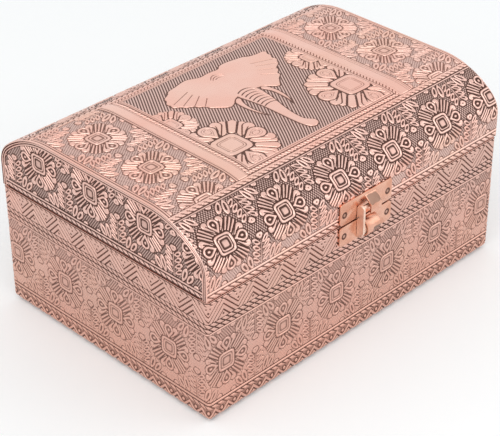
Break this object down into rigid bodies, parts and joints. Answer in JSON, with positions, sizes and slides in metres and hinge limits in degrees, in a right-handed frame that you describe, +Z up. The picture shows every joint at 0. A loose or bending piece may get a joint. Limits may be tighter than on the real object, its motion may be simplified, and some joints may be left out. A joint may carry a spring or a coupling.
{
  "type": "keepsake box",
  "caption": "Rectangular keepsake box with an arched hinged lid, embossed metal cladding over boards, a velvet-lined compartment and a front latch with a sliding bolt.",
  "frame": {"origin": "centre of the underside, on the surface that the box stands on", "axes": "+X to the right along the long front, +Y from the latch side to the hinge side, +Z up"},
  "size_m": [0.203, 0.1515, 0.1027],
  "materials": {
    "fibreboard": "plain board, hidden under the sheet and the lining",
    "embossed_sheet": "rose-coloured embossed sheet, raised parts polished, hollows darkened",
    "velvet": "short pile",
    "felt": "matt felt",
    "latch_metal": "bright rose-coloured plating",
    "hinge_and_nail_metal": "satin rose-coloured plating"
  },
  "bodies": {
    "base": {"base_front_board": "fibreboard", "base_rear_board": "fibreboard", "base_left_board": "fibreboard", "base_right_board": "fibreboard", "base_floor_board": "fibreboard", "base_embossed_sheet": "embossed_sheet", "underside_felt": "felt", "base_floor_lining": "velvet", "base_front_lining": "velvet", "base_rear_lining": "velvet", "base_left_lining": "velvet", "base_right_lining": "velvet", "latch_base_plate": "latch_metal", "latch_base_nails": "hinge_and_nail_metal", "hinge_base_nails": "hinge_and_nail_metal", "hinge_left_base_leaf": "hinge_and_nail_metal", "hinge_left_pin": "hinge_and_nail_metal", "hinge_right_base_leaf": "hinge_and_nail_metal", "hinge_right_pin": "hinge_and_nail_metal"},
    "lid": {"lid_front_rail": "fibreboard", "lid_rear_rail": "fibreboard", "lid_left_end_board": "fibreboard", "lid_right_end_board": "fibreboard", "lid_top_board": "fibreboard", "lid_crown_sheet": "embossed_sheet", "lid_front_sheet": "embossed_sheet", "lid_rear_sheet": "embossed_sheet", "lid_left_sheet": "embossed_sheet", "lid_right_sheet": "embossed_sheet", "lid_top_lining": "velvet", "lid_left_lining": "velvet", "lid_right_lining": "velvet", "latch_lid_plate": "latch_metal", "latch_lid_nails": "hinge_and_nail_metal", "hinge_lid_nails": "hinge_and_nail_metal", "hinge_left_lid_leaf": "hinge_and_nail_metal", "hinge_right_lid_leaf": "hinge_and_nail_metal"},
    "bolt": {"latch_bolt": "latch_metal"}
  },
  "joints": [
    {"name": "lid_hinge", "type": "hinge", "parent": "base", "child": "lid", "pos_m": [0, 0.0731, 0.0671], "axis": [-1, 0, 0], "range_deg": [0, 105]},
    {"name": "bolt_slide", "type": "slide", "parent": "base", "child": "bolt", "axis": [-1, 0, 0], "range_m": [0, 0.004]}
  ]
}
